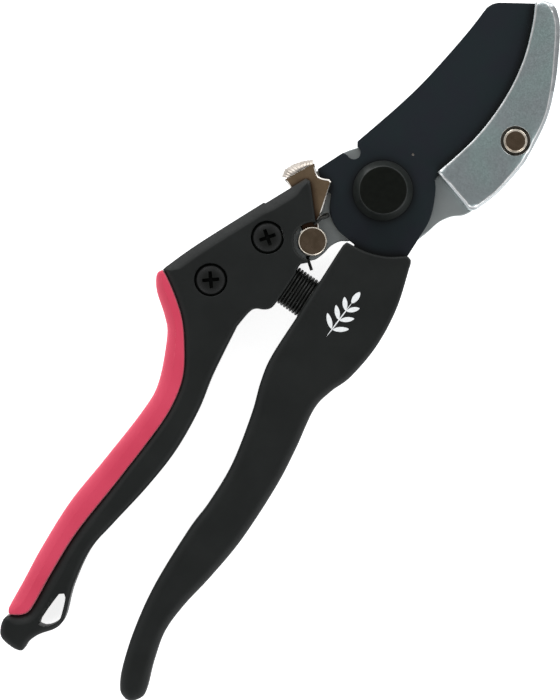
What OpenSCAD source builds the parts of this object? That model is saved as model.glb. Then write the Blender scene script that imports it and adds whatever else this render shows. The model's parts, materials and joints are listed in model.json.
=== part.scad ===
// Bypass pruner with a riveted counter blade, a thumb latch and a two-part grip.
// It lies flat on its back: +Z points up through the pivot bolt's head, +Y runs from the
// handles to the blade tip, and the origin is on the pivot axis, in the back face of the nut.

/* [Plates] */
// Thickness of the steel arm that carries the counter blade
arm_t = 3.4; // [3:0.1:3.8]
// Thickness of the cutting blade
blade_t = 3.2; // [2.8:0.1:3.4]
// Width of the ground bevel behind the cutting edge
bevel_w = 5; // [3:0.5:6]
// Thickness left at the cutting edge
edge_land = 0.4; // [0.2:0.1:0.6]
// Thickness of the counter blade's lip, in front of the cutting blade
lip_t = 2.8; // [2:0.1:3.2]

/* [Pivot] */
// Radius of the bolt's shank
shank_r = 4; // [3.5:0.1:4.5]
// Radius of the bolt head where it meets the washer
head_r = 7.6; // [7:0.1:8]
// Radius of the bolt head's flat top
head_top_r = 6.1; // [5.5:0.1:6.5]
// Height of the bolt head
head_h = 5.2; // [4:0.1:6]
// Thickness of the hexagon nut
nut_t = 4; // [3.6:0.1:4.4]
// Distance across the nut's flats
nut_af = 13; // [12:0.5:14]
// Radial clearance of every part that turns on a shank
running_fit = 0.05; // [0.02:0.01:0.08]

/* [Handles] */
// Thickness of both handles, front to back
handle_t = 16; // [15.5:0.1:17]
// Radius of the recesses for the handle screws
recess_r = 4.1; // [4:0.1:4.5]
// Depth of those recesses
recess_d = 2.4; // [2:0.1:2.6]

/* [Springs] */
// Outer radius of the main spring
spring_r = 5.3; // [5:0.1:5.4]
// Wire diameter of the main spring
spring_wire = 0.95; // [0.8:0.05:1.1]
// Number of coils in the main spring
spring_coils = 17; // [12:1:18]
// How far the spring reaches into each handle
seat_depth = 6.3; // [5:0.1:6.4]

/* [Latch] */
// Thickness of the latch's sheet metal
latch_t = 1.8; // [1.5:0.1:1.9]
// Depth of the latch's bent thumb tab, front to back
tab_h = 7.6; // [6:0.1:9]
// Radius of the latch rivet's front head
latch_head_r = 3.6; // [3.5:0.05:4]

/* [Hidden] */
$fn = 64;
far = 60;                                   // longer than any cut needs
gap = 0.05;                                 // running gap between the two steel plates
facet = 1.3;                                // longest straight piece of a curved outline

// Heights of the layers, from the back to the front
washer_t = 0.6;
arm_z = nut_t + washer_t;
blade_z = arm_z + arm_t + gap;
blade_top = blade_z + blade_t;
lip_z = blade_top + 0.15;
lip_top = lip_z + lip_t;
latch_z = blade_top + 0.35;
latch_top = latch_z + latch_t;
cheek_z = latch_top + 0.2;
mid_z = handle_t / 2;

// Places of the fasteners and of the main spring
counter_rivet_at = [20.1, 29.2];
latch_rivet_at = [-7.17, -20.6];
upper_screw_at = [-16.95, -26.3];
lower_screw_at = [-22.5, -43.15];
spring_y = -33;
spring_x = [-5.9, 0.3];                     // where the two handles' spring seats open
latch_shank_r = 1.8;
hub_r = 14.6;
seat_r = spring_r + 0.3;
tool_screw_r = 2;

// Curve through the points of a path, in pieces no longer than a facet; its last point is
// left out so that paths chain
function blend_at(a, b, c, d, t) =
    0.5 * (2 * b + (c - a) * t + (2 * a - 5 * b + 4 * c - d) * t * t
           + (3 * b - a - 3 * c + d) * t * t * t);
function curve(p) = [
    for (i = [0 : len(p) - 2])
        let (steps = ceil(norm(p[i + 1] - p[i]) / facet))
            for (k = [0 : steps - 1])
                blend_at(p[max(i - 1, 0)], p[i], p[i + 1], p[min(i + 2, len(p) - 1)],
                         k / steps)];
function arc(centre, r, from, to, steps = 12) = [
    for (k = [0 : steps]) centre + r * [cos(from + (to - from) * k / steps),
                                        sin(from + (to - from) * k / steps)]];
function right_of(d) = [d[1], -d[0]] / norm(d);
function side_at(p, i) = right_of(p[min(i + 1, len(p) - 1)] - p[max(i - 1, 0)]);

// Outlines, seen from the front
cutting_edge = curve([[9.3, 10.6], [11, 16.5], [12.6, 24.2], [13.05, 31.9], [12.6, 40],
    [11, 47.7], [8.1, 55.4], [5, 61]]);
blade_spine = concat(
    curve([[-3.6, 55.3], [-4.5, 54.6], [-5, 53.4], [-5.5, 44], [-7.1, 30], [-9, 20],
           [-12.4, 6.5]]),
    [[-12.4, 6.5]]);
blade_lug = [[-13.7, 2.2], [-15.5, -2.2], [-16.6, -4.9], [-14, -7.4]];
blade_hub = curve([[-10.2, -8.2], [-8, -12], [-4.7, -14.2], [-1.3, -15], [1.8, -15.2]]);
blade_tang = curve([[1.8, -15.2], [7.8, -25], [8, -40], [12, -49], [16, -40], [15.8, -22],
    [14.6, -10]]);
blade_outline = concat([[5, 61]], blade_spine, arc([-11.5, 3.7], 1.65, 95, -120, 10),
    blade_lug, blade_hub, blade_tang,
    curve([[14.6, -10], [14.4, -5], [14.1, 0], [12.8, 4], [10.7, 8], [9.3, 9.7],
           [9.3, 10.6]]),
    cutting_edge);

arm_outline = concat(
    curve([[14.4, -5], [15.3, -2], [16.2, 1.7], [18, 4.7], [21, 7.9], [22.6, 15.8],
           [23.4, 27], [22, 37.2], [19, 42.4], [16.2, 40.5], [13.8, 34], [12.3, 22],
           [9.6, 12]]),
    arc([0, 0], hub_r - 1.2, 56, 138),
    curve([[-11.4, 5.5], [-13.6, 2.4], [-15.3, -1.8], [-17.2, -7.5], [-20, -16], [-23.8, -28],
           [-28.4, -40], [-28, -46.5], [-22, -48.5], [-17.6, -45], [-15.5, -37],
           [-14, -29.5], [-10, -26.8], [-4.8, -24.8], [-3.2, -21.7], [-2.7, -18.7],
           [-1.3, -16.3], [0.5, -15.3]]),
    arc([0, 0], hub_r, -85, -22));

counter_inner = curve([[4.2, 60.6], [6.9, 55.4], [9.8, 47.7], [11.4, 40], [11.85, 31.9],
    [11.35, 24.2], [9.8, 16.5], [8.5, 11.6]]);
counter_outer = concat(
    curve([[18.6, 8.9], [20.3, 8.4], [21.6, 9.1], [22.4, 10.6], [24, 15.8], [25, 23.5],
           [25, 28.1], [23.5, 38.1], [20.4, 46.2], [16.5, 53.5], [12.7, 59.4],
           [9.6, 62.3]]),
    curve([[9.6, 62.3], [7.7, 62.8], [5.4, 61.9], [4.2, 60.6]]));
counter_outline = concat(counter_inner, [[8.5, 11.6]], counter_outer);
counter_spine = concat(
    curve([[7.6, 62.7], [10.2, 56.5], [12.6, 49.5], [14.2, 42], [14.9, 33], [14.4, 24],
           [13, 16.5], [11.9, 10.8]]),
    [[11.9, 10.8]],
    [for (p = counter_outer) if (p[0] > 9) p]);

grip_outer = curve([[-15.6, -140.8], [-16.9, -139.6], [-17.8, -131.8], [-18.9, -122.4],
    [-19.6, -109], [-18.65, -95.3], [-17.8, -80], [-18.6, -71.8], [-23.4, -61.2],
    [-26.7, -57.4], [-31.6, -53.7], [-33.8, -51.2], [-34.6, -49.2], [-33.9, -48]]);
grip_inner = curve([[-33.9, -48], [-32.2, -48.6], [-27.6, -51.4], [-22.6, -55.3], [-18.4, -60.3],
    [-14.4, -66.5], [-12.5, -72.9], [-11.9, -81], [-12.6, -97], [-13.7, -114],
    [-13.1, -125.9], [-12.1, -135.9], [-12.9, -138.8], [-15.6, -140.8]]);
function reversed(p) = [for (i = [len(p) - 1 : -1 : 1]) p[i]];

left_head = concat(
    [[-17.6, -8.6], [-16.3, -8.5], [-8, -17.5], [-6, -24.5], [-5, -25.5]],
    curve([[-6.3, -26.8], [-6.3, -28.7], [-5.9, -29.5], [-5.8, -38.9], [-7, -41.4],
           [-9.7, -43.3], [-10.4, -48.9]]));
left_inner = curve([[-10.4, -48.9], [-8.4, -62], [-6.2, -71.8], [-5.1, -83.5],
    [-5.8, -95.3], [-7.5, -107.6], [-8.4, -116], [-6.65, -125.6], [-3.9, -133.2],
    [-4.1, -136.8], [-6.7, -140.6], [-7.8, -143.6], [-7.7, -145.9], [-8.6, -146.9],
    [-10.9, -147.2], [-13.9, -146.8], [-15.5, -145.3], [-16.4, -142.5], [-15.6, -140.8]]);
left_outer = concat(
    curve([[-33.9, -48], [-33.7, -47], [-30.3, -37.4], [-22.8, -19.6]]),
    [[-22.8, -19.6], [-22.35, -19.5]]);
left_outline = concat(left_head, left_inner, [grip_outer[0]], reversed(grip_inner), left_outer);
lanyard_hole = curve([[-7.5, -128.6], [-8.5, -129.4], [-8.65, -137.6], [-7.7, -138.6],
    [-6, -137.6], [-4.7, -135], [-5.4, -132.2], [-6.7, -129.2], [-7.5, -128.6]]);
// Space between the cheeks in which the latch turns
latch_slot = [[-30, -19.3], [-21.5, -19.8], [-17, -21.3], [-12.5, -25], [-8, -27], [0, -27],
    [0, 0], [-30, 0]];

right_outline = concat(
    curve([[14.3, -10], [10.3, -13], [5.3, -15], [0, -15.8]]),
    curve([[0, -15.8], [-0.4, -17], [0, -27.5], [0.4, -38], [0.85, -50], [2.25, -56.75],
           [5.1, -65], [8.25, -78], [9.05, -89], [8.8, -98], [9.75, -114], [12, -126],
           [15, -135.5], [17.5, -140.1], [19.3, -141.3], [21.2, -141.4], [22.9, -139.8],
           [23.5, -137],
           [20.9, -130], [18.75, -122], [18.85, -114], [20.25, -104], [21.25, -92],
           [20.75, -76.5], [19.4, -66], [17.4, -55], [18.25, -49], [20.25, -43],
           [21.15, -33], [19.9, -22.5], [16.75, -12.5], [15.8, -10.3], [14.3, -10]]));

tab_edge = curve([[-21.8, -11.9], [-23, -11.2], [-23.3, -9.8], [-22.4, -7.4], [-20.7, -4.9],
    [-18.9, -3.3]]);
latch_outline = concat(
    curve([[-18.9, -3.3], [-17, -5.2], [-15.2, -6.35], [-13.6, -5.95], [-12.6, -5.4],
           [-11.75, -5.6]]),
    [[-11.75, -5.6], [-9.25, -14], [-9.1, -15.4], [-6.5, -17.5], [-8, -24], [-11.2, -19.9], [-13.5, -16.8],
     [-19.5, -12.8]],
    tab_edge);
tab_outline = concat(
    tab_edge,
    curve([[-18.9, -3.3], [-18.4, -4.6], [-20.9, -7.9], [-21.4, -10.6], [-21.8, -11.9]]));

module plate(outline, z, t) {
    translate([0, 0, z]) linear_extrude(t) polygon(outline);
}

module hole(at, r, z = -1, h = far) {
    translate([at[0], at[1], z]) cylinder(r = r, h = h);
}

// Wedge that grinds the bevel off the back of a blade, along its edge
module edge_wedge(path) {
    slope = (blade_t - edge_land) / bevel_w;
    high = blade_top - edge_land + slope;
    low = blade_z - slope;
    last = len(path) - 1;
    rings = [for (i = [0 : last]) let (n = side_at(path, i), o = path[i] + n,
                                       b = path[i] - n * (bevel_w + 1))
        each [[o[0], o[1], high], [o[0], o[1], low], [b[0], b[1], low]]];
    walls = [for (i = [0 : last - 1], k = [0 : 2]) let (a = 3 * i + k, b = 3 * i + (k + 1) % 3)
        each [[b, a, a + 3], [b, a + 3, b + 3]]];
    polyhedron(rings, concat([[0, 1, 2]], walls, [[3 * last + 2, 3 * last + 1, 3 * last]]));
}

module hexagon(at, af, z, t) {
    translate([at[0], at[1], z]) cylinder(d = af / cos(30), h = t, $fn = 6);
}

module countersunk_rivet(at, shank, front_r, front_z, front_t, back_r, back_z) {
    translate([at[0], at[1], 0]) {
        translate([0, 0, back_z]) cylinder(r = shank, h = front_z + front_t - back_z);
        translate([0, 0, front_z]) cylinder(r = front_r, h = front_t);
        translate([0, 0, back_z]) cylinder(r1 = back_r * 0.7, r2 = back_r, h = arm_z - back_z);
    }
}

// Pan-head screw with a cross recess, its head sunk in the handle
module handle_screw(at) {
    head_z = handle_t - recess_d;
    translate([at[0], at[1], 0]) difference() {
        union() {
            translate([0, 0, 1]) cylinder(r = tool_screw_r, h = head_z - 1);
            translate([0, 0, head_z]) cylinder(r1 = 3.75, r2 = 3.2, h = recess_d - 0.3);
        }
        for (turn = [20, 110])
            rotate(turn) translate([-1.9, -0.45, handle_t - 1.5]) cube([3.8, 0.9, 2]);
    }
}

module handle_nut(at) {
    difference() {
        hexagon(at, 7, 0.8, 2.8);
        hole(at, tool_screw_r);
    }
}

module arm_plate() {
    color("darkgray") difference() {
        plate(arm_outline, arm_z, arm_t);
        hole([0, 0], shank_r);
        hole(latch_rivet_at, latch_shank_r);
        hole(counter_rivet_at, 2);
        hole(upper_screw_at, tool_screw_r);
        hole(lower_screw_at, tool_screw_r);
    }
}

// Cast counter blade: a lip in front of the cutting blade and a spine wrapped round the arm
module counter_blade() {
    color("silver") difference() {
        union() {
            plate(counter_outline, lip_z, lip_t);
            plate(counter_spine, arm_z, lip_z - arm_z);
        }
        plate(arm_outline, arm_z - 1, arm_t + 1);
        hole(counter_rivet_at, 2);
        hole(counter_rivet_at, 3.7, lip_top - 0.9);
    }
}

module counter_blade_rivet() {
    color("lightgray")
        countersunk_rivet(counter_rivet_at, 2, 3.04, lip_top - 0.9, 0.9, 3.2, arm_z - 1.2);
}

module cutting_blade() {
    color("darkslategray") difference() {
        plate(blade_outline, blade_z, blade_t);
        edge_wedge(concat(cutting_edge, [[5, 61], [3.4, 64]]));
        hole([0, 0], shank_r + running_fit);
    }
}

module pivot_bolt() {
    color("black") {
        cylinder(r = shank_r, h = blade_top + 0.5);
        translate([0, 0, blade_top + 0.45]) cylinder(r1 = head_r, r2 = head_top_r, h = head_h);
    }
}

module head_washer() {
    color("dimgray") translate([0, 0, blade_top + gap]) difference() {
        cylinder(r = 7.2, h = 0.4);
        hole([0, 0], shank_r);
    }
}

module spring_washer() {
    color("dimgray") translate([0, 0, nut_t]) difference() {
        cylinder(r = 7.8, h = washer_t);
        hole([0, 0], shank_r);
    }
}

module pivot_nut() {
    color("black") difference() {
        hexagon([0, 0], nut_af, 0, nut_t);
        hole([0, 0], shank_r);
    }
}

// Moulded handle: two cheeks round the arm's tang, and a loop for a lanyard at its end
module left_handle() {
    color("darkslategray") difference() {
        plate(left_outline, 0, handle_t);
        plate(arm_outline, arm_z, arm_t);
        plate(latch_slot, arm_z + arm_t, cheek_z - arm_z - arm_t);
        plate(lanyard_hole, -1, far);
        hole(latch_rivet_at, 4.7);
        translate([spring_x[0] - seat_depth, spring_y, mid_z])
            rotate([0, 90, 0]) cylinder(r = seat_r, h = seat_depth + 5);
        for (at = [upper_screw_at, lower_screw_at]) {
            hole(at, tool_screw_r);
            hole(at, recess_r, handle_t - recess_d);
            hexagon(at, 7, -1, 1 + 3.6);
        }
    }
}

module grip_insert() {
    color("crimson") plate(concat(grip_outer, grip_inner), 0, handle_t);
}

module upper_handle_screw() {
    color("black") handle_screw(upper_screw_at);
}

module lower_handle_screw() {
    color("black") handle_screw(lower_screw_at);
}

module upper_handle_nut() {
    color("gray") handle_nut(upper_screw_at);
}

module lower_handle_nut() {
    color("gray") handle_nut(lower_screw_at);
}

// Handle moulded over the blade's tang
module right_handle() {
    color("darkslategray") difference() {
        plate(right_outline, 0, handle_t);
        plate(blade_outline, blade_z, blade_t);
        translate([spring_x[1] - 5, spring_y, mid_z])
            rotate([0, 90, 0]) cylinder(r = seat_r, h = seat_depth + 5);
    }
}

// Compression spring drawn as a sleeve with one bead for each coil
module main_spring() {
    inside = spring_r - spring_wire;
    start = spring_x[0] - seat_depth + 0.1;
    run = spring_x[1] + seat_depth - 0.1 - start;
    pitch = run / spring_coils;
    beads = [for (i = [0 : spring_coils * 4])
        [spring_r - 0.25 + 0.25 * cos(90 * i + 180), pitch * i / 4]];
    color("black") translate([start, spring_y, mid_z]) rotate([0, 90, 0])
        rotate_extrude() polygon(concat([[inside, 0]], beads, [[inside, run]]));
}

module safety_latch() {
    color("lightgray") difference() {
        union() {
            plate(latch_outline, latch_z, latch_t);
            plate(tab_outline, latch_top - tab_h, tab_h);
            hole(latch_rivet_at, 4.2, latch_z, latch_t);
        }
        hole(latch_rivet_at, latch_shank_r + running_fit);
    }
}

module latch_rivet() {
    color("lightgray") countersunk_rivet(latch_rivet_at, latch_shank_r, latch_head_r,
        latch_top + 0.05, 1.5, 3.2, arm_z - 1.4);
}

// Collar that holds the latch off the arm and carries the torsion spring
module latch_spacer() {
    base = arm_z + arm_t;
    color("gray") difference() {
        hole(latch_rivet_at, 2.6, base, latch_z - 0.05 - base);
        hole(latch_rivet_at, latch_shank_r);
    }
}

// Torsion spring: its coil, one leg under the latch's waist and one against the handle
module latch_spring() {
    coil_z = arm_z + arm_t + 0.1;
    coil_h = latch_z - 0.15 - coil_z;
    color("black") {
        difference() {
            hole(latch_rivet_at, 3.5, coil_z, coil_h);
            hole(latch_rivet_at, 2.75);
        }
        for (leg = [[[-10.3, -20.6], [-8.7, -14.9]], [[-5.6, -23.5], [-3.2, -26.5]]])
            translate([0, 0, coil_z + coil_h - 0.4]) hull()
                for (end = leg) translate([end[0], end[1], 0]) sphere(r = 0.36, $fn = 14);
    }
}

arm_plate();
counter_blade();
counter_blade_rivet();
cutting_blade();
pivot_bolt();
head_washer();
spring_washer();
pivot_nut();
left_handle();
grip_insert();
upper_handle_screw();
lower_handle_screw();
upper_handle_nut();
lower_handle_nut();
right_handle();
main_spring();
safety_latch();
latch_rivet();
latch_spacer();
latch_spring();
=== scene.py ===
"""The looks of the bypass pruner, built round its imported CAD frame.

Lengths are in millimetres until a mesh is made, and heights are measured from the resting plane.
"""
import json
import math

import bmesh
import bpy
import numpy as np
from mathutils import Matrix, Vector


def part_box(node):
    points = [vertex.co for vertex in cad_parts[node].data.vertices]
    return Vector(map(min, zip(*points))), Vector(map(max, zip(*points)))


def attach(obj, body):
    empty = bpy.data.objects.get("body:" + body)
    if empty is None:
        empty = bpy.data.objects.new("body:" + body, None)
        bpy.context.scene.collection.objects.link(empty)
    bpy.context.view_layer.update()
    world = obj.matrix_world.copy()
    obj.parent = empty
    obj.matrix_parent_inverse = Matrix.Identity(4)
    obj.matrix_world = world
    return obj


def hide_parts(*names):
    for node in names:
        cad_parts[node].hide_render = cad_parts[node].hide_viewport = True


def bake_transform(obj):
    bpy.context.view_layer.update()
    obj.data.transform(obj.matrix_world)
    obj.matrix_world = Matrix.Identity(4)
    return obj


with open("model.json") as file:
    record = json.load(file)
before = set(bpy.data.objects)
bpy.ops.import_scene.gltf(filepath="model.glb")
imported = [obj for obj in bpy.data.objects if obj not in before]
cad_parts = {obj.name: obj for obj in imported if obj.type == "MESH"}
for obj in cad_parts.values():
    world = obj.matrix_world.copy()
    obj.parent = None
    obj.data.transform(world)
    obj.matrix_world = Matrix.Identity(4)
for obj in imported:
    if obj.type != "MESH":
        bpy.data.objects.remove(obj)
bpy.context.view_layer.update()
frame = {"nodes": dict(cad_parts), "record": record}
MM = 0.001
SKIN = 0.07        # how far a dressed piece's walls stay inside its CAD solid
HAIR = 0.01        # the same for flat faces that should look unchanged
SHARP = 32.0       # degrees between faces that make an edge sharp


# ---------------------------------------------------------------- what the frame says
def low_high(node, axis=2):
    """Lowest and highest coordinate of a CAD node along one axis, in mm."""
    low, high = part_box(node)
    return low[axis] / MM, high[axis] / MM


def centre(node):
    """Middle of a CAD node's box seen from the front, in mm."""
    low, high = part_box(node)
    return np.array([(low[i] + high[i]) / 2 / MM for i in (0, 1)])


def radius_of(node):
    """Radius of a round CAD node seen from the front, in mm."""
    low, high = low_high(node, 0)
    return (high - low) / 2


SLOT_OF = {s["node"]: s["material_slot"] for s in frame["record"]["subparts"]}
HANDLE_LOW, HANDLE_HIGH = low_high("right_handle")
MID_Z = (HANDLE_LOW + HANDLE_HIGH) / 2
SCREW_SEAT = HANDLE_HIGH - 2.4
ARM_LOW, ARM_HIGH = low_high("arm_plate")
BLADE_LOW, BLADE_HIGH = low_high("cutting_blade")
LIP_HIGH = low_high("counter_blade")[1]
LATCH_HIGH = low_high("safety_latch")[1]
PIVOT = centre("pivot_bolt")
COUNTER_RIVET = centre("counter_blade_rivet")
LATCH_RIVET = centre("latch_rivet")
UPPER_SCREW = centre("upper_handle_screw")
LOWER_SCREW = centre("lower_handle_screw")


# ---------------------------------------------------------------- outlines
def flat_outlines(node, z):
    """Closed outlines, largest first, of a CAD node's flat faces at height z."""
    mesh = frame["nodes"][node].data
    points = [tuple(round(c / MM, 3) for c in v.co) for v in mesh.vertices]
    edges = set()
    for face in mesh.polygons:
        corners = [points[i] for i in face.vertices]
        if any(abs(c[2] - z) > 0.004 for c in corners):
            continue
        for a, b in zip(corners, corners[1:] + corners[:1]):
            edges.add((a[:2], b[:2]))
    follow = {a: b for a, b in edges if (b, a) not in edges}
    loops = []
    while follow:
        start, here = follow.popitem()
        loop = [start]
        while here != start:
            loop.append(here)
            here = follow.pop(here)
        loops.append(np.array(loop))
    return sorted(loops, key=lambda p: -abs(area(p)))


def outline_of(node, z, step=0.7):
    """The largest outline of a CAD node's flat faces at height z, as a smooth curve."""
    return smooth(flat_outlines(node, z)[0], step)


def skin_outline(node, z, depth=SKIN, step=0.7):
    """The same curve moved in by depth."""
    return smooth(inset(outline_of(node, z, step), depth), step)


def area(p):
    """Signed area of a closed outline: positive when it runs anticlockwise."""
    q = np.roll(p, -1, axis=0)
    return 0.5 * float(np.sum(p[:, 0] * q[:, 1] - q[:, 0] * p[:, 1]))


def unit(v):
    """Vectors of length 1 along the rows of v."""
    return v / np.maximum(np.linalg.norm(v, axis=-1, keepdims=True), 1e-9)


def turning(p):
    """Angle in degrees that the outline turns through at each point."""
    ahead = unit(np.roll(p, -1, axis=0) - p)
    behind = unit(p - np.roll(p, 1, axis=0))
    cross = behind[:, 0] * ahead[:, 1] - behind[:, 1] * ahead[:, 0]
    return np.degrees(np.arctan2(cross, np.sum(ahead * behind, axis=1)))


def smooth(p, step=0.7, corner=30.0, straight=3.0):
    """The outline as an anticlockwise curve through its points, its corners and straights kept."""
    if area(p) < 0:
        p = p[::-1]
    p = p[np.linalg.norm(np.roll(p, -1, axis=0) - p, axis=1) > 0.02]
    ahead = np.roll(p, -1, axis=0) - p
    length = np.linalg.norm(ahead, axis=1)
    before = np.roll(length, 1)
    slope = ahead / length[:, None]
    slope_before = np.roll(slope, 1, axis=0)
    leaving = (slope * before[:, None] + slope_before * length[:, None]) / (length + before)[:, None]
    leaving[length > straight] = slope[length > straight]
    leaving[before > straight] = slope_before[before > straight]
    arriving = leaving.copy()
    sharp = (np.abs(turning(p)) > corner) | ((length > straight) & (before > straight))
    leaving[sharp], arriving[sharp] = slope[sharp], slope_before[sharp]
    out = []
    for i in range(len(p)):
        j = (i + 1) % len(p)
        count = max(1, int(round(length[i] / step)))
        for t in np.arange(count) / count:
            out.append((2 * t**3 - 3 * t**2 + 1) * p[i] + (t**3 - 2 * t**2 + t) * length[i] * leaving[i]
                       + (3 * t**2 - 2 * t**3) * p[j] + (t**3 - t**2) * length[i] * arriving[j])
    return np.array(out)


def range_to(points, at):
    """How far each point is from one place."""
    return np.linalg.norm(points - at, axis=1)


def share(values, start, run):
    """0 up to start, 1 from start + run on, and an even rise in between."""
    return np.clip((values - start) / run, 0, 1)


def nearest(points, outline):
    """For each point, the closest place on the outline and how far off it is."""
    a = outline
    d = np.roll(outline, -1, axis=0) - outline
    t = np.einsum("pij,ij->pi", points[:, None] - a[None], d) / np.maximum(np.sum(d * d, axis=1), 1e-12)
    foot = a[None] + np.clip(t, 0, 1)[..., None] * d[None]
    distance = np.linalg.norm(points[:, None] - foot, axis=2)
    best = np.argmin(distance, axis=1)
    rows = np.arange(len(points))
    return foot[rows, best], distance[rows, best]


def inward(outline):
    """Unit normals that point into an anticlockwise outline."""
    tangent = unit(unit(np.roll(outline, -1, axis=0) - outline) + unit(outline - np.roll(outline, 1, axis=0)))
    return np.stack([-tangent[:, 1], tangent[:, 0]], axis=1)


def inset(outline, depth, start=None):
    """The outline moved inwards by depth, one value or one a point, with no crossings at corners.
    start is a shallower ring of the same points to set out from."""
    depth = np.broadcast_to(np.asarray(depth, float), len(outline))
    q = outline + inward(outline) * np.minimum(depth, 0.05)[:, None]
    if start is not None:
        q = np.where((nearest(start, outline)[1] > 0.02)[:, None], start, q)
    for _ in range(50):
        foot, distance = nearest(q, outline)
        short = np.clip(depth - distance, 0, 0.12)
        if short.max() < 0.01:
            break
        q = q + unit(q - foot) * short[:, None]
    return untangled(q)


def spaced(points, t):
    """Place a share t of the way along an open row of points."""
    points = np.array(points)
    along = np.concatenate([[0], np.cumsum(np.linalg.norm(np.diff(points, axis=0), axis=1))])
    return np.array([np.interp(t * along[-1], along, points[:, i]) for i in (0, 1)])


def crossing(a, b, c, d):
    """Where segment ab crosses segment cd, or None."""
    r, s, between = b - a, d - c, c - a
    turn = r[0] * s[1] - r[1] * s[0]
    if abs(turn) < 1e-12:
        return None
    t = (between[0] * s[1] - between[1] * s[0]) / turn
    u = (between[0] * r[1] - between[1] * r[0]) / turn
    return a + t * r if 0 <= t <= 1 and 0 <= u <= 1 else None


def untangled(ring, reach=14):
    """The ring without the little loops that an inset makes at tight corners."""
    count = len(ring)
    for i in range(count):
        for k in range(2, reach):
            end = ring[(i + k + 1) % count]
            meet = crossing(ring[i], ring[(i + 1) % count], ring[(i + k) % count], end)
            if meet is not None:
                path = [ring[i], meet, end]
                for m in range(1, k + 1):
                    ring[(i + m) % count] = spaced(path, m / (k + 1))
    return ring


def half_width(outline, reach=9.0):
    """How deep the solid is behind each point of its outline."""
    normal = inward(outline)
    deepest = np.zeros(len(outline))
    for t in np.arange(0.5, reach, 0.5):
        deepest = np.maximum(deepest, np.minimum(nearest(outline + normal * t, outline)[1], t))
    return deepest


def soften(values, width=9):
    """Values round a closed outline, averaged over their neighbours."""
    for _ in range(width):
        values = (np.roll(values, 1) + 2 * values + np.roll(values, -1)) / 4
    return values


def circle(at, radius, count=56):
    """Points round a circle, anticlockwise."""
    angle = np.linspace(0, 2 * math.pi, count, endpoint=False)
    return np.array(at) + radius * np.stack([np.cos(angle), np.sin(angle)], axis=1)


# ---------------------------------------------------------------- meshes
def mesh_object(name, bm, body, node=None, slot=None, sharp=SHARP):
    """Closes a bmesh in mm as a named piece that rides on a body and stands for a CAD node."""
    bmesh.ops.remove_doubles(bm, verts=bm.verts, dist=1e-4)
    bmesh.ops.dissolve_degenerate(bm, edges=bm.edges, dist=1e-4)
    bmesh.ops.recalc_face_normals(bm, faces=bm.faces)
    bm.transform(Matrix.Scale(MM, 4))
    mesh = bpy.data.meshes.new(name)
    bm.to_mesh(mesh)
    bm.free()
    mesh.shade_smooth()
    mesh.set_sharp_from_angle(angle=math.radians(sharp))
    obj = bpy.data.objects.new(name, mesh)
    bpy.context.scene.collection.objects.link(obj)
    if body:
        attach(obj, body)
    if node:
        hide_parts(node)
        slot = slot or SLOT_OF[node]
    return obj


def add_ring(bm, points, z, closest=0.05):
    """Vertices along a closed outline, one shared by points that an inset has pushed together."""
    heights = np.broadcast_to(np.asarray(z, float), len(points))
    ring = []
    for (x, y), h in zip(points, heights):
        here = Vector((x, y, h))
        near = [v for v in ring[-1:] + ring[:1] if (v.co - here).length < closest]
        ring.append(near[0] if near else bm.verts.new(here))
    return ring


def join_rings(bm, a, b):
    """Faces between two rings of the same count, with three corners where a vertex is shared."""
    for i in range(len(a)):
        j = (i + 1) % len(a)
        corners = list(dict.fromkeys((a[i], a[j], b[j], b[i])))
        if len(corners) > 2:
            bm.faces.new(corners)


def fill(bm, *rings):
    """Flat cap between an outer ring and any holes in it."""
    edges = []
    for ring in rings:
        for a, b in zip(ring, ring[1:] + ring[:1]):
            if a is not b:
                edges.append(bm.edges.get((a, b)) or bm.edges.new((a, b)))
    bmesh.ops.triangle_fill(bm, use_beauty=True, edges=edges)


def round_rim(across, down, rings=5, bulge=2.0):
    """(inset, drop) steps of a rim from the wall to the flat: a bulge of 2 rounds it, 1 bevels it."""
    angles = [math.pi / 2 * k / rings for k in range(rings + 1)]
    corners = [(abs(math.cos(a)) ** (2 / bulge), math.sin(a) ** (2 / bulge)) for a in angles]
    return [(across * np.maximum(1 - c, 0), down * np.maximum(1 - s, 0)) for c, s in corners]


def stepped(outline, rim):
    """Outlines of a rim's steps with their drops, from the wall to the flat."""
    out, ring = [], None
    for depth, drop in rim:
        if np.any(depth):
            ring = inset(outline, depth, ring)
        out.append((outline if ring is None else ring, drop))
    return out


def plate(outline, low, high, front, back=None, recesses=()):
    """bmesh of a plate. front and back give the (inset, drop) steps of its rims, and
    recesses lists (outline, floor height, rim width) of pits in its front face."""
    bm = bmesh.new()
    behind = [add_ring(bm, p, low + drop) for p, drop in stepped(outline, back or front)]
    ahead = [add_ring(bm, p, high - drop) for p, drop in stepped(outline, front)]
    made = behind[::-1] + ahead
    for a, b in zip(made, made[1:]):
        join_rings(bm, a, b)
    fill(bm, made[0])
    pits = []
    for pit, floor, edge in recesses:
        top = add_ring(bm, pit - inward(pit) * edge, high)
        neck = add_ring(bm, pit, high - edge)
        base = add_ring(bm, pit, floor)
        join_rings(bm, top, neck)
        join_rings(bm, neck, base)
        fill(bm, base)
        pits.append(top)
    fill(bm, made[-1], *pits)
    return bm


def lathe(profile, at=(0, 0), segments=72):
    """bmesh of a solid turned about a vertical axis from (radius, height) points, bottom to top."""
    bm = bmesh.new()
    made = [add_ring(bm, circle(at, max(r, 0.01), segments), z) for r, z in profile]
    for a, b in zip(made, made[1:]):
        join_rings(bm, a, b)
    fill(bm, made[0])
    fill(bm, made[-1])
    return bm


def rounded(r0, z0, r1, z1, steps=5):
    """Profile points of a round rim from its foot (r0, z0) in to its crest (r1, z1)."""
    return [(r0 - depth, z1 - drop) for depth, drop in round_rim(r0 - r1, z1 - z0, steps)]


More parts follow.
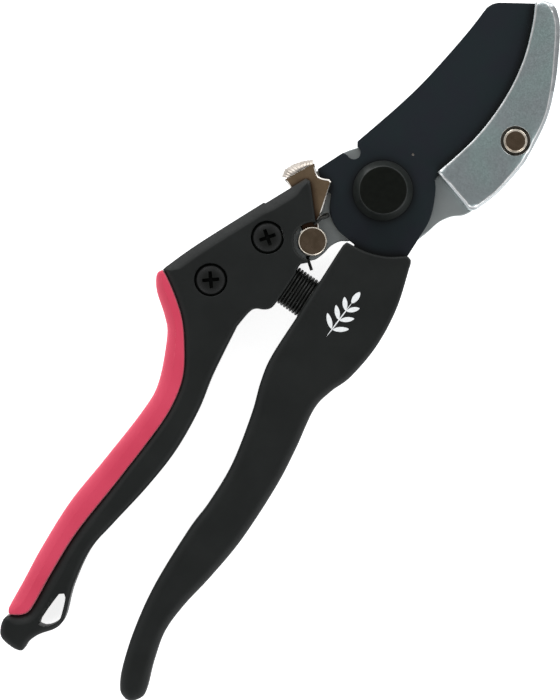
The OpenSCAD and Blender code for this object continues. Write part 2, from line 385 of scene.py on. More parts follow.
def tube(path, radius, sides=12):
    """bmesh of a round wire along a list of 3-D points in mm, closed at both ends."""
    bm = bmesh.new()
    path = [Vector(p) for p in path]
    normal = (path[1] - path[0]).orthogonal().normalized()
    made = []
    for i, here in enumerate(path):
        along = (path[min(i + 1, len(path) - 1)] - path[max(i - 1, 0)]).normalized()
        normal = (normal - along * normal.dot(along)).normalized()
        across = along.cross(normal)
        made.append([bm.verts.new(here + radius * (math.cos(a) * normal + math.sin(a) * across))
                     for a in (2 * math.pi * k / sides for k in range(sides))])
    for a, b in zip(made, made[1:]):
        join_rings(bm, a, b)
    for end in (made[0], made[-1]):
        bm.faces.new(end)
    return bm


def cut(obj, other, operation):
    """Applies a boolean with another object to a piece at once."""
    step = obj.modifiers.new("cut", "BOOLEAN")
    step.object = other
    step.operation = operation
    step.solver = "EXACT"
    shape = bpy.data.meshes.new_from_object(obj.evaluated_get(bpy.context.evaluated_depsgraph_get()))
    obj.modifiers.clear()
    obj.data = shape
    shape.set_sharp_from_angle(angle=math.radians(SHARP))


def trim_to_cad(obj, node):
    """Keeps only what lies inside the CAD node, so its slots, bores and recesses are cut."""
    cut(obj, frame["nodes"][node], "INTERSECT")


# ---------------------------------------------------------------- materials
def rgb(r, g, b):
    """A colour from its 8-bit screen values."""
    return tuple(((c / 255 + 0.055) / 1.055) ** 2.4 if c > 10 else c / 255 / 12.92 for c in (r, g, b)) + (1,)


class Look:
    """A material made of a Principled shader and the texture nodes that feed it."""

    def __init__(self, name, roughness, metallic=0.0, **sockets):
        self.material = bpy.data.materials.new(name)
        self.material.use_nodes = True
        self.nodes = self.material.node_tree.nodes
        self.links = self.material.node_tree.links
        self.shader = self.nodes["Principled BSDF"]
        self.shader.inputs["Roughness"].default_value = roughness
        self.shader.inputs["Metallic"].default_value = metallic
        for socket, value in sockets.items():
            self.shader.inputs[socket.replace("_", " ")].default_value = value
        self.place = self.nodes.new("ShaderNodeTexCoord").outputs["Object"]

    def noise(self, size_mm, detail=3.0):
        """Soft random patches of about this size."""
        node = self.nodes.new("ShaderNodeTexNoise")
        node.inputs["Scale"].default_value = 1 / (size_mm * MM)
        node.inputs["Detail"].default_value = detail
        self.links.new(self.place, node.inputs["Vector"])
        return node.outputs["Fac"]

    def ranged(self, value, low, high, start=0.35, end=0.65):
        """A value that runs from start to end, mapped to run from low to high."""
        node = self.nodes.new("ShaderNodeMapRange")
        for socket, number in (("From Min", start), ("From Max", end), ("To Min", low), ("To Max", high)):
            node.inputs[socket].default_value = number
        self.links.new(value, node.inputs["Value"])
        return node.outputs["Result"]

    def mixed(self, factor, a, b):
        """Colour a where the factor is 0, and b where it is 1."""
        node = self.nodes.new("ShaderNodeMix")
        node.data_type = "RGBA"
        for socket, colour in ((6, a), (7, b)):
            if isinstance(colour, tuple):
                node.inputs[socket].default_value = colour
            else:
                self.links.new(colour, node.inputs[socket])
        self.links.new(factor, node.inputs[0])
        return node.outputs[2]

    def feed(self, socket, value):
        """Connects a value to one of the shader's sockets."""
        self.links.new(value, self.shader.inputs[socket])

    def bump(self, height, strength, distance_mm):
        """Relief from a texture, too fine to be modelled."""
        node = self.nodes.new("ShaderNodeBump")
        node.inputs["Strength"].default_value = strength
        node.inputs["Distance"].default_value = distance_mm * MM
        self.links.new(height, node.inputs["Height"])
        self.links.new(node.outputs["Normal"], self.shader.inputs["Normal"])

    def patches(self, size_mm, a, b, detail=3.0):
        """A colour that drifts between a and b in soft patches."""
        return self.mixed(self.ranged(self.noise(size_mm, detail), 0, 1), a, b)

    def shaded(self, colour, shade, reach_mm, darkest):
        """The colour, sinking to the shade where taller pieces stand within reach."""
        node = self.nodes.new("ShaderNodeAmbientOcclusion")
        node.inputs["Distance"].default_value = reach_mm * MM
        return self.mixed(self.ranged(node.outputs["AO"], 0, 1, darkest, 0.9), shade, colour)

    def grain(self, size_mm, detail, low, high, strength, depth_mm):
        """A fine texture in the roughness, from low to high, and in the relief."""
        fine = self.noise(size_mm, detail)
        self.feed("Roughness", self.ranged(fine, low, high))
        self.bump(fine, strength, depth_mm)


def moulded_plastic():
    look = Look("handle_plastic", 0.5, Specular_IOR_Level=0.2)
    look.feed("Base Color", look.patches(9, rgb(23, 25, 24), rgb(27, 29, 28)))
    look.grain(0.22, 4, 0.42, 0.6, 0.3, 0.05)
    return look.material


def soft_grip():
    look = Look("grip_rubber", 0.55, Specular_IOR_Level=0.3, Sheen_Weight=0.2, Sheen_Roughness=0.5)
    look.feed("Base Color", look.patches(14, rgb(201, 56, 83), rgb(208, 63, 90)))
    look.grain(0.16, 3, 0.48, 0.66, 0.25, 0.04)
    return look.material


def blade_coating():
    look = Look("blade_coating", 0.42, Specular_IOR_Level=0.25)
    open_air = look.patches(7, rgb(24, 33, 36), rgb(26, 30, 36))
    look.feed("Base Color", look.shaded(open_air, rgb(3, 5, 6), 3, 0.55))
    look.grain(0.2, 2, 0.38, 0.46, 0.12, 0.02)
    return look.material


def satin_steel():
    look = Look("arm_steel", 0.42, metallic=1.0)
    look.feed("Base Color", look.patches(5, rgb(190, 196, 196), rgb(197, 203, 202)))
    look.grain(0.2, 2, 0.38, 0.48, 0.1, 0.02)
    return look.material


def cast_silver():
    look = Look("cast_jaw", 0.38, metallic=1.0)
    look.feed("Base Color", look.patches(8, rgb(184, 194, 196), rgb(182, 202, 200)))
    look.grain(0.35, 3, 0.34, 0.42, 0.08, 0.02)
    return look.material


def white_ink():
    look = Look("white_ink", 0.5, Specular_IOR_Level=0.3)
    look.feed("Base Color", look.patches(0.5, rgb(226, 228, 228), rgb(240, 242, 242)))
    return look.material


def bright_metal(name, dull, bright, low, high, shade=None):
    """Plated metal, smeared in colour and polish, with a shade where walls stand over it."""
    look = Look(name, high, metallic=1.0)
    smear = look.noise(2.4, 3)
    plated = look.mixed(look.ranged(smear, 0, 1), dull, bright)
    if shade:
        plated = look.shaded(plated, shade, 2.5, 0.5)
    look.feed("Base Color", plated)
    look.feed("Roughness", look.ranged(smear, low, high))
    look.bump(look.noise(0.5, 3), 0.05, 0.02)
    return look.material


def oxide(name, colour, low, high, gloss=0.3):
    """Blackened steel, smeared in colour and polish."""
    look = Look(name, high, metallic=0.2, Specular_IOR_Level=gloss)
    smear = look.noise(1.4, 2)
    lighter = tuple(min(1, c * 1.25) for c in colour[:3]) + (1,)
    look.feed("Base Color", look.mixed(look.ranged(smear, 0, 1), colour, lighter))
    look.feed("Roughness", look.ranged(smear, low, high))
    look.bump(look.noise(0.6, 2), 0.01, 0.02)
    return look.material


PLATINGS = {     # dull and bright colour, lowest and highest roughness, shade
    "nickel_plate": (rgb(212, 206, 198), rgb(224, 219, 212), 0.2, 0.26),
    "shaded_tab_and_mark_nickel": (rgb(148, 141, 133), rgb(170, 163, 155), 0.3, 0.4),
    "brown_reflection_plate": (rgb(170, 145, 116), rgb(180, 154, 124), 0.2, 0.26, rgb(72, 52, 40)),
    "bright_ring": (rgb(206, 197, 182), rgb(216, 208, 195), 0.18, 0.24),
    "highlight_chamfer": (rgb(242, 244, 243), rgb(249, 250, 249), 0.3, 0.36),
    "shaded_rim_band": (rgb(164, 167, 168), rgb(174, 177, 178), 0.36, 0.42),
    "shaded_seat": (rgb(88, 86, 80), rgb(100, 98, 92), 0.4, 0.5),
    "rivet_face_reflection": (rgb(128, 110, 90), rgb(140, 121, 102), 0.24, 0.3),
    "plain_zinc": (rgb(168, 170, 168), rgb(190, 190, 186), 0.28, 0.42),
}
OXIDES = {       # colour, lowest and highest roughness, gloss
    "black_oxide": (rgb(18, 20, 17), 0.16, 0.2, 0.16),
    "screw_black": (rgb(6, 8, 6), 0.2, 0.24, 0.72),
    "sheen_oxide": (rgb(30, 33, 31), 0.42, 0.48, 0.3),
    "cross_shade": (rgb(4, 5, 4), 0.5, 0.6, 0.15),
    "spring_steel": (rgb(34, 35, 33), 0.3, 0.4),
}
MATERIALS = {
    "handle_plastic": moulded_plastic(),
    "grip_rubber": soft_grip(),
    "blade_coating": blade_coating(),
    "arm_steel": satin_steel(),
    "cast_jaw": cast_silver(),
    "white_ink": white_ink(),
}
MATERIALS.update({name: bright_metal(name, *finish) for name, finish in PLATINGS.items()})
MATERIALS.update({name: oxide(name, *finish) for name, finish in OXIDES.items()})


def dress(obj, slot):
    """Gives a piece its material, and normals that keep its flat faces flat."""
    obj.data.materials.clear()
    obj.data.materials.append(MATERIALS[slot])
    even = obj.modifiers.new("even_normals", "WEIGHTED_NORMAL")
    even.keep_sharp = True


def beside(c, at, reach):
    """Whether a face with its centre at c lies within reach of a place, seen from the front."""
    return math.dist(c[:2], at) < reach


def two_tone(obj, slot, chosen):
    """Gives a second material to the faces that chosen picks by their centre in mm and normal."""
    obj.data.materials.append(MATERIALS[slot])
    for face in obj.data.polygons:
        if chosen(face.center / MM, face.normal):
            face.material_index = len(obj.data.materials) - 1


for node_name, node_object in frame["nodes"].items():
    for material_slot in node_object.material_slots:
        material_slot.link = "OBJECT"
        material_slot.material = MATERIALS[SLOT_OF[node_name]]


# ---------------------------------------------------------------- handles
def right_handle():
    """Handle moulded over the blade's tang: crisp at the hub, well rounded along the grip."""
    outline = skin_outline("right_handle", HANDLE_HIGH)
    from_hub = share(range_to(outline, PIVOT), 17.2, 45)
    across = soften(0.7 + 1.9 * from_hub)
    down = soften(0.6 + 1.2 * from_hub)
    bm = plate(outline, HANDLE_LOW + SKIN, HANDLE_HIGH - SKIN, round_rim(across, down, 8))
    obj = mesh_object("right_handle_shell", bm, "blade", "right_handle")
    trim_to_cad(obj, "right_handle")
    dress(obj, "handle_plastic")


def left_handle():
    """Handle with two cheeks at its head, and a loop for a lanyard at its end."""
    outline = skin_outline("left_handle", HANDLE_HIGH)
    grip_line = outline_of("grip_insert", HANDLE_HIGH)
    off_grip = share(nearest(outline, grip_line)[1], 0.3, 3)
    below_head = share(-outline[:, 1], 44, 12)
    back_edge = (outline[:, 1] > -47) & ((outline @ np.array([-0.923, 0.385])) > 12.2)
    tail = share(-outline[:, 1], 95, 25)
    beside_grip = off_grip < 0.15
    free_rim = np.maximum(1.2 * below_head * off_grip, 2.1 * back_edge)
    across = np.where(beside_grip, 1.3 + 1.2 * tail, 0.7 + free_rim)
    across = soften(np.minimum(across, 0.85 * half_width(outline, 5)), 4)
    down = soften(np.where(beside_grip, 0.65 + 0.6 * tail, 0.6 + 0.55 * free_rim), 4)
    bulge = soften(np.where(back_edge | beside_grip, 1.25, 2.0), 4)
    rim = round_rim(across, down, 7, bulge)
    pits = [(circle(at, 4.15), SCREW_SEAT - 0.02, 0.2) for at in (UPPER_SCREW, LOWER_SCREW)]
    bm = plate(outline, HANDLE_LOW + SKIN, HANDLE_HIGH - SKIN, rim, recesses=pits)
    obj = mesh_object("left_handle_shell", bm, "arm", "left_handle")
    trim_to_cad(obj, "left_handle")
    dress(obj, "handle_plastic")


def grip_insert():
    """Soft insert along the outer side of the left handle."""
    full = outline_of("grip_insert", HANDLE_HIGH)
    core = outline_of("left_handle", HANDLE_HIGH)
    outline = smooth(inset(full, soften(np.where(nearest(full, core)[1] < 0.4, 0.005, 0.1), 2)))
    off_core = nearest(outline, core)[1]
    groove = soften(np.where(off_core < 0.4, 0.25, 0.0), 2)
    outside = share(off_core, 0.4, 3.5)
    across = soften(np.minimum(0.3 + 3.4 * outside, 1.15 * half_width(outline)), 6)
    down = soften(0.35 + 2.0 * outside, 4)
    rim = [(0, down + 1)] + [(groove + d, drop) for d, drop in round_rim(across, down, 8)]
    bm = plate(outline, HANDLE_LOW + SKIN, HANDLE_HIGH - SKIN, rim)
    obj = mesh_object("grip_insert_skin", bm, "arm", "grip_insert")
    dress(obj, "grip_rubber")


# ---------------------------------------------------------------- plates
def eased(outline, corner, reach, passes=12):
    """An outline rounded off near one of its corners."""
    out = outline.copy()
    close = range_to(outline, corner) < reach
    for _ in range(passes):
        out[close] = (out + np.roll(out, 1, axis=0) + np.roll(out, -1, axis=0))[close] / 3
    return out


def cutting_blade():
    """Coated blade: flat in front, ground away behind its edge, with a punch mark."""
    outline = skin_outline("cutting_blade", BLADE_HIGH, step=0.6)
    back_corner = outline[np.argmin(outline @ (0.94, -0.34) + (outline[:, 1] < 50) * 99)]
    outline = eased(outline, back_corner, 1.5)
    mark_at, mark_r = (1.0, 11.8), 0.3
    mark = (circle(mark_at, mark_r, 16), BLADE_HIGH - 0.2, 0.1)
    bm = plate(outline, BLADE_LOW + HAIR, BLADE_HIGH - HAIR, round_rim(0.18, 0.18, 2), recesses=[mark])
    obj = mesh_object("cutting_blade_body", bm, "blade", "cutting_blade")
    trim_to_cad(obj, "cutting_blade")
    dress(obj, "blade_coating")
    # The punch mark's walls and floor take the darker nickel, lighter than the coating round it.
    two_tone(obj, "shaded_tab_and_mark_nickel",
             lambda c, n: beside(c, mark_at, mark_r + 0.02) and 0.02 < BLADE_HIGH - c[2] < 0.5)


def counter_blade():
    """Cast counter blade: a flat face inside a bright line, a sloping outer rim, a sunk rivet."""
    outline = skin_outline("counter_blade", LIP_HIGH, step=0.6)
    inner_side = nearest(outline, cutting_line())[1] < 2.4
    lower_end = outline[:, 1] < 11.2
    outer = 0.55 + 0.4 * share(outline[:, 1], 40, 12)
    slope = soften(np.where(inner_side, 0.0, np.where(lower_end, 0.45, outer)), 3)
    off_pit = range_to(outline, COUNTER_RIVET) - 3.9
    slope = np.clip(off_pit - 0.4, 0, slope)
    line = soften(np.where(inner_side, 0.42, 0.32), 2)
    band_drop = 0.38
    front = [(0, 0.6), (0.06, band_drop), (0.1 + slope, band_drop), (0.1 + slope + line, 0)]
    pit_r = 3.72
    pit = (circle(COUNTER_RIVET, pit_r), low_high("counter_blade_rivet")[1] - 0.92, 0.08)
    bm = plate(outline, ARM_LOW + HAIR, LIP_HIGH - HAIR, front, round_rim(0.3, 0.3, 2), recesses=[pit])
    obj = mesh_object("counter_blade_body", bm, "arm", "counter_blade", sharp=20)
    trim_to_cad(obj, "counter_blade")
    dress(obj, "cast_jaw")
    # The chamfers are painted near white: a painted highlight along the face's edge.
    two_tone(obj, "highlight_chamfer", lambda c, n: 0.5 < n.z < 0.97)
    # The lowered band round the outer rim is painted darker grey: painted shade on the same cast metal.
    two_tone(obj, "shaded_rim_band", lambda c, n: n.z > 0.97 and LIP_HIGH - 0.6 < c[2] < LIP_HIGH - 0.2)
    two_tone(obj, "shaded_seat",
             lambda c, n: beside(c, COUNTER_RIVET, pit_r + 0.01) and c[2] < LIP_HIGH - 0.12)


def cutting_line():
    """The part of the blade's outline that faces the counter blade."""
    line = outline_of("cutting_blade", BLADE_HIGH, 0.8)
    return line[(line[:, 0] > 4.5) & (line[:, 1] > 10)]


def arm_plate():
    """Plain steel plate behind the blade."""
    outline = skin_outline("arm_plate", ARM_HIGH, depth=0.02)
    bm = plate(outline, ARM_LOW + HAIR, ARM_HIGH - HAIR, round_rim(0.25, 0.25, 2))
    obj = mesh_object("arm_plate_body", bm, "arm", "arm_plate")
    trim_to_cad(obj, "arm_plate")
    dress(obj, "arm_steel")


# ---------------------------------------------------------------- latch
# Where the thumb tab starts to bend down, and its free edge below, seen from the front.
TAB_BEND = [(-18.3, -4.5), (-19.5, -6.1), (-20.2, -7.9), (-20.8, -9.3), (-21.7, -11.2)]
TAB_EDGE = [(-18.95, -3.5), (-20.8, -5.2), (-22.4, -7.4), (-23.4, -9.8), (-22.9, -11.8)]


def safety_latch():
    """Sheet-metal latch: a flat hook with an eye, and a ribbed thumb tab bent down from it."""
    full = outline_of("safety_latch", LATCH_HIGH, 0.5)
    bend = np.array([spaced(TAB_BEND, t) for t in np.linspace(0, 1, 30)])
    ahead = unit(bend[-1] - bend[0])
    left_of = (full - bend[0]) @ np.array([ahead[1], -ahead[0]])
    flat = inset(full[left_of < 0.3], 0.02)
    thick = LATCH_HIGH - low_high("latch_spacer")[1] - 0.05
    away = flat - LATCH_RIVET
    off = np.linalg.norm(away, axis=1)
    eye = radius_of("latch_rivet") + 0.12
    flat = np.where((off < eye + 0.5)[:, None], LATCH_RIVET + away / off[:, None] * eye, flat)
    rim = np.where(nearest(flat, bend)[1] < 0.8, 0.02, 0.34)
    bm = plate(flat, LATCH_HIGH - thick, LATCH_HIGH - HAIR, round_rim(rim, rim, 3, 1.2))
    obj = mesh_object("safety_latch_plate", bm, "latch", "safety_latch", sharp=20)
    dress(obj, "nickel_plate")
    # The flat faces are painted brown over the same nickel as the rims: a painted reflection, darkening to
    # painted shade where taller pieces stand near.
    two_tone(obj, "brown_reflection_plate", lambda c, n: abs(n.z) > 0.98)
    tab = mesh_object("safety_latch_tab", thumb_tab(thick), "latch", slot="nickel_plate", sharp=60)
    # The tab is painted a darker copy of the latch's nickel: painted shade on the faces that turn down to the
    # side.
    dress(tab, "shaded_tab_and_mark_nickel")


def thumb_tab(thick, ribs=11, rib_h=0.14):
    """bmesh of the bent tab: each row runs from the flat, over the bend and down to the free end."""
    bent, straight, bend_drop = 0.7, 0.3, 2.4      # shares of a row, and how far the bend goes down
    bm = bmesh.new()
    depth = low_high("safety_latch")[1] - low_high("safety_latch")[0] - 0.1
    columns, rows = ribs * 6, 14
    outer, inner = [], []
    for i in range(columns + 1):
        u = i / columns
        bend, edge = spaced(TAB_BEND, u), spaced(TAB_EDGE, u)
        outward = unit(edge - bend)
        reach = np.linalg.norm(edge - bend)
        fall = depth * (0.5 + 0.5 * (1 - abs(2 * u - 1) ** 3.2) ** 0.5)
        rib = rib_h * 0.5 * (1 - math.cos(2 * math.pi * ribs * u))
        front, behind = [], []
        for j in range(rows + 1):
            v = j / rows
            turn = min(1.0, v / bent) * math.pi / 2
            down = bend_drop * (1 - math.cos(turn)) + (fall - bend_drop) * max(0.0, (v - bent) / straight)
            crest = rib * min(1.0, 3 * v)
            spot = bend + outward * (reach * math.sin(turn) - 0.2 + crest * math.sin(turn))
            top = LATCH_HIGH - 0.02 - down - (rib_h - crest) * math.cos(turn) * min(1.0, 5 * v)
            front.append(bm.verts.new((*spot, top)))
            back = bend + outward * ((reach - thick) * math.sin(turn) - 0.35)
            behind.append(bm.verts.new((*back, top - thick * math.cos(turn))))
        outer.append(front)
        inner.append(behind)
    for i in range(columns):
        for j in range(rows):
            bm.faces.new((outer[i][j], outer[i][j + 1], outer[i + 1][j + 1], outer[i + 1][j]))
            bm.faces.new((inner[i][j], inner[i + 1][j], inner[i + 1][j + 1], inner[i][j + 1]))
        bm.faces.new((outer[i][0], outer[i + 1][0], inner[i + 1][0], inner[i][0]))
        bm.faces.new((outer[i][rows], inner[i][rows], inner[i + 1][rows], outer[i + 1][rows]))
    for i in (0, columns):
        for j in range(rows):
            bm.faces.new((outer[i][j], inner[i][j], inner[i][j + 1], outer[i][j + 1]))
    return bm


def latch_rivet():
    """Rivet whose flat face sits inside a thin bright rim."""
    low, high = low_high("latch_rivet")
    base = LATCH_HIGH + 0.05
    radius = radius_of("latch_rivet")
    tail = [(2.2, low), (3.2, ARM_LOW), (1.8, ARM_LOW)]
    flange = [(1.8, base), (radius - 0.2, base), (radius, base + 0.2)]
    face = [(radius - 0.3, high - 0.14), (2.0, high - 0.1), (0, high - 0.08)]
    profile = tail + flange + rounded(radius, high - 0.2, radius - 0.14, high) + face
    obj = mesh_object("latch_rivet_body", lathe(profile, LATCH_RIVET), "arm", "latch_rivet", sharp=40)
    dress(obj, "bright_ring")
    # The flat face is painted brown over the same metal as its ring: a painted reflection.
    two_tone(obj, "rivet_face_reflection", lambda c, n: n.z > 0.9 and beside(c, LATCH_RIVET, radius - 0.28))


# ---------------------------------------------------------------- fasteners
def pivot_bolt():
    """Bolt with a plain tapered head and a crisp rounded rim."""
    low, high = low_high("pivot_bolt")
    base = BLADE_HIGH + 0.46
    shank = [(3.6, low), (4.0, low + 0.4), (4.0, base)]
    skirt = [(7.4, base), (7.55, base + 0.25)]
    face = [(3.0, high), (0, high)]
    profile = shank + skirt + rounded(6.15, high - 0.4, 5.65, high, 6) + face
    obj = mesh_object("pivot_bolt_body", lathe(profile, PIVOT, 96), "arm", "pivot_bolt", sharp=40)
    dress(obj, "black_oxide")
    # The sloping skirt and rounded rim take a lighter oxide: a painted sheen on the same blackened steel.
    two_tone(obj, "sheen_oxide", lambda c, n: 0 < n.z < 0.93 and c[2] > base + 0.2)


def counter_blade_rivet():
    """Rivet with a thin bright ring round a dished face."""
    low, high = low_high("counter_blade_rivet")
    seat = high - 0.85
    tail = [(2.4, low), (3.2, ARM_LOW), (2.0, ARM_LOW)]
    flange = [(2.0, seat), (2.95, seat), (3.04, seat + 0.15)]
    face = [(2.45, high - 0.3), (1.5, high - 0.24), (0, high - 0.2)]
    bm = lathe(tail + flange + rounded(3.04, high - 0.3, 2.75, high) + face, COUNTER_RIVET)
    obj = mesh_object("counter_blade_rivet_body", bm, "arm", "counter_blade_rivet", sharp=40)
    dress(obj, "bright_ring")
    # The dished face is painted brown over the same metal as its ring: a painted reflection.
    two_tone(obj, "rivet_face_reflection", lambda c, n: n.z > 0.9 and beside(c, COUNTER_RIVET, 2.4))


def handle_screw(node, at, turn):
    """Pan-head screw with a tapered cross recess."""
    low, high = low_high(node)
    head, dome_h = 3.92, 0.85
    cross_length, cross_width, cross_depth = 6.0, 1.2, 2.4
    shank = [(1.7, low), (2.0, low + 0.3), (2.0, SCREW_SEAT)]
    flange = [(3.75, SCREW_SEAT), (head, SCREW_SEAT + 0.25)]
    dome = [(head * k / 10, high - dome_h * (k / 10) ** 2) for k in range(10, -1, -1)]
    obj = mesh_object(node + "_body", lathe(shank + flange + dome, at), "arm", node, sharp=40)
    for side in (turn, turn + 90):
        wing = bmesh.new()
        bmesh.ops.create_cube(wing, size=1.0)
        for v in wing.verts:
            taper = 1.0 if v.co.z > 0 else 0.5
            v.co = Vector((v.co.x * cross_length * taper, v.co.y * cross_width * taper, v.co.z * cross_depth))
        bmesh.ops.rotate(wing, verts=wing.verts, matrix=Matrix.Rotation(math.radians(side), 3, "Z"))
        bmesh.ops.translate(wing, verts=wing.verts, vec=(*at, high - 0.1))
        blank = mesh_object("cross_cutter", wing, None)
        cut(obj, blank, "DIFFERENCE")
        bpy.data.objects.remove(blank)
    dress(obj, "screw_black")
    two_tone(obj, "cross_shade", lambda c, n: c[2] < high - 0.35 and beside(c, at, 2.5))


def bevel_node(node, width_mm):
    """Softens a kept CAD node's edges without touching its mesh."""
    obj = frame["nodes"][node]
    weld = obj.modifiers.new("weld", "WELD")
    weld.merge_threshold = 1e-6
    bevel = obj.modifiers.new("bevel", "BEVEL")
    bevel.width = width_mm * MM
    bevel.segments = 2
    bevel.limit_method = "ANGLE"


# ---------------------------------------------------------------- springs
def main_spring(coils=21):
    """Compression spring between the handles, with closed ends in both seats."""
    (x0, x1), (y0, y1) = low_high("main_spring", 0), low_high("main_spring", 1)
    wire = 0.76
    radius = (y1 - y0) / 2 - wire / 2
    start, run = x0 + wire / 2, x1 - x0 - wire
    path = []
    per_turn = 28
    for k in range(coils * per_turn + 1):
        angle = 2 * math.pi * k / per_turn
        path.append((start + run * k / (coils * per_turn), (y0 + y1) / 2 + radius * math.cos(angle),
                     MID_Z + radius * math.sin(angle)))
    obj = mesh_object("main_spring_coil", tube(path, wire / 2, 10), None, "main_spring", sharp=80)
    dress(obj, "spring_steel")
    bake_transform(obj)


def latch_spring(turns=3.4):
    """Torsion spring round the latch's collar: its coil, and the leg that hooks over the latch."""
    low, high = low_high("latch_spring")
    wire, radius = 0.8, 3.1
    top = min(high, LATCH_HIGH - 1.8) - wire / 2 - 0.05

    def on_coil(degrees, z):
        angle = math.radians(degrees)
        return (LATCH_RIVET[0] + radius * math.cos(angle), LATCH_RIVET[1] + radius * math.sin(angle), z)

    first, last = -60, -60 - 360 * turns
    coil = [on_coil(d, low + wire / 2 + (top - low - wire / 2) * (first - d) / (first - last))
            for d in np.arange(first, last, -15)]
    # The foot is the coil's short lower end. The leg climbs past the latch's edge and rests on its face.
    foot = [(-3.2, -26.6, low + 1.2), (-4.7, -25.5, low + 1.0), (-6.0, -24.5, low + 0.6)]
    leg = [on_coil(d, top) for d in np.arange(40, 110, 10)]
    leg += [(-9.2, -16.0, top), (-9.0, -14.5, top), (-8.5, -13.4, top + 0.4), (-7.9, -12.8, LATCH_HIGH - 0.7)]
    leg += [(-7.6, -13.1, LATCH_HIGH), (-7.9, -13.7, LATCH_HIGH + 0.4), (-8.6, -14.5, LATCH_HIGH + 0.45),
            (-9.0, -15.8, LATCH_HIGH + 0.45), (-9.3, -16.9, LATCH_HIGH + 0.42)]
    fixed = mesh_object("latch_spring_coil", tube(foot + coil, wire / 2, 10), "arm", "latch_spring", sharp=80)
    dress(fixed, "spring_steel")
    bending = mesh_object("latch_spring_leg", tube(leg, wire / 2, 10), None, slot="spring_steel", sharp=80)
    dress(bending, "spring_steel")
    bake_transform(bending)


# ---------------------------------------------------------------- printed mark
def sprig_mark(pairs=3, steps=12):
    """A plain white sprig printed on the right handle: a stem with leaves in pairs."""
    foot, tip = np.array([9.4, -38.3]), np.array([9.9, -24.2])
    along = unit(tip - foot)
    across = np.array([along[1], -along[0]])
    leaves = [(foot, tip - along * 3, 0.16), (tip - along * 3.6, tip, 0.75)]
    for k in range(pairs):
        root = foot + along * (2.4 + 2.9 * k)
        for side in (-1, 1):
            leaf_foot = root + across * side * 0.12
            leaves.append((leaf_foot, root + along * 2.6 + across * side * (3.4 - 0.5 * k), 0.62))
    bm = bmesh.new()
    for start, end, width in leaves:
        way = end - start
        to_side = np.array([way[1], -way[0]]) / np.linalg.norm(way) * width
        swell = [math.sin(math.pi * t) ** 0.7 for t in np.linspace(0, 1, steps)]
        midrib = [start + way * t for t in np.linspace(0, 1, steps)]
        one_side = [p + to_side * s for p, s in zip(midrib, swell)]
        other_side = [p - to_side * s for p, s in zip(midrib, swell)]
        leaf = np.array(one_side + other_side[-2:0:-1])
        rings = [add_ring(bm, leaf, HANDLE_HIGH - below) for below in (0.1, 0.03)]
        join_rings(bm, *rings)
        fill(bm, rings[0])
        fill(bm, rings[1])
    obj = mesh_object("sprig_mark", bm, "blade")
    dress(obj, "white_ink")


right_handle()
left_handle()
grip_insert()
cutting_blade()
counter_blade()
arm_plate()
safety_latch()
latch_rivet()
pivot_bolt()
counter_blade_rivet()
handle_screw("upper_handle_screw", UPPER_SCREW, 55)
handle_screw("lower_handle_screw", LOWER_SCREW, 40)
for nut, width in (("pivot_nut", 0.35), ("upper_handle_nut", 0.2), ("lower_handle_nut", 0.2)):
    bevel_node(nut, width)
main_spring()
latch_spring()
sprig_mark()


# ---------------------------------------------------------------- studio
def camera():
    """Looks straight down on the tool, turned as it lies in the picture."""
    lens_data = bpy.data.cameras.new("camera")
    obj = bpy.data.objects.new("camera", lens_data)
    bpy.context.scene.collection.objects.link(obj)
    distance, plane, shown = 1.400, 0.014, 0.1755      # metres: shown is the picture's height
    lens_data.sensor_width = 36
    lens_data.lens = 36 * distance / shown
    lens_data.clip_start = 0.01
    lean = math.radians(35)
    right = Vector((math.cos(lean), math.sin(lean), 0))
    up = Vector((-math.sin(lean), math.cos(lean), 0))
    spot = Vector((0.0018, -0.0476, plane + distance))     # above the middle of the picture
    obj.matrix_world = Matrix.Translation(spot) @ Matrix((right, up, right.cross(up))).transposed().to_4x4()
    bpy.context.scene.camera = obj


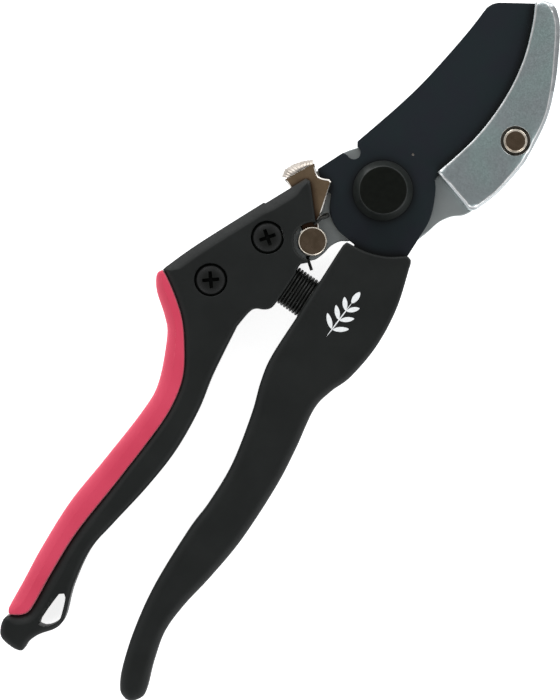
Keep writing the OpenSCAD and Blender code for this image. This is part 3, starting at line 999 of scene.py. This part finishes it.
def area_light(name, at, size, watts):
    """A square softbox that faces the tool."""
    data = bpy.data.lights.new(name, "AREA")
    data.size = size
    data.energy = watts
    obj = bpy.data.objects.new(name, data)
    bpy.context.scene.collection.objects.link(obj)
    obj.location = at
    aim = Vector((0, -0.04, 0)) - Vector(at)
    obj.rotation_euler = aim.to_track_quat("-Z", "Y").to_euler()


def darken_zenith(tree):
    """A pale room whose ceiling is dark round the camera, so flat faces look deep and rims look bright."""
    background = tree.nodes["Background"]
    place = tree.nodes.new("ShaderNodeTexCoord")
    split = tree.nodes.new("ShaderNodeSeparateXYZ")
    ramp = tree.nodes.new("ShaderNodeValToRGB")
    ramp.color_ramp.elements[0].position = 0.45
    ramp.color_ramp.elements[0].color = (0.95, 0.97, 1.0, 1)
    ramp.color_ramp.elements[1].position = 0.92
    ramp.color_ramp.elements[1].color = (0.2, 0.2, 0.2, 1)
    tree.links.new(place.outputs["Generated"], split.inputs["Vector"])
    tree.links.new(split.outputs["Z"], ramp.inputs["Fac"])
    tree.links.new(ramp.outputs["Color"], background.inputs["Color"])
    background.inputs["Strength"].default_value = 1.1


def studio():
    """A white floor that glows a little, a pale room and four softboxes."""
    bm = bmesh.new()
    bmesh.ops.create_grid(bm, x_segments=1, y_segments=1, size=1500)
    floor = bpy.data.objects.new("floor", bpy.data.meshes.new("floor"))
    bm.transform(Matrix.Scale(MM, 4))
    bm.to_mesh(floor.data)
    bm.free()
    floor.location.z = -0.0003
    bpy.context.scene.collection.objects.link(floor)
    look = Look("floor_paper", 0.9)
    look.feed("Base Color", look.patches(60, (0.9, 0.9, 0.9, 1), (0.93, 0.93, 0.93, 1), detail=2))
    look.shader.inputs["Emission Color"].default_value = (1, 1, 1, 1)
    look.shader.inputs["Emission Strength"].default_value = 0.85
    floor.data.materials.append(look.material)
    world = bpy.data.worlds.new("studio")
    bpy.context.scene.world = world
    world.use_nodes = True
    darken_zenith(world.node_tree)
    area_light("left_softbox", (-0.80, 0.45, 0.45), 0.6, 5)
    area_light("right_softbox", (0.85, -0.20, 0.50), 0.5, 1.7)
    area_light("far_softbox", (0.15, 1.0, 0.55), 0.6, 3.5)
    area_light("near_softbox", (-0.1, -1.0, 0.6), 0.6, 1.2)
    bpy.context.scene.view_settings.view_transform = "Standard"


camera()
studio()
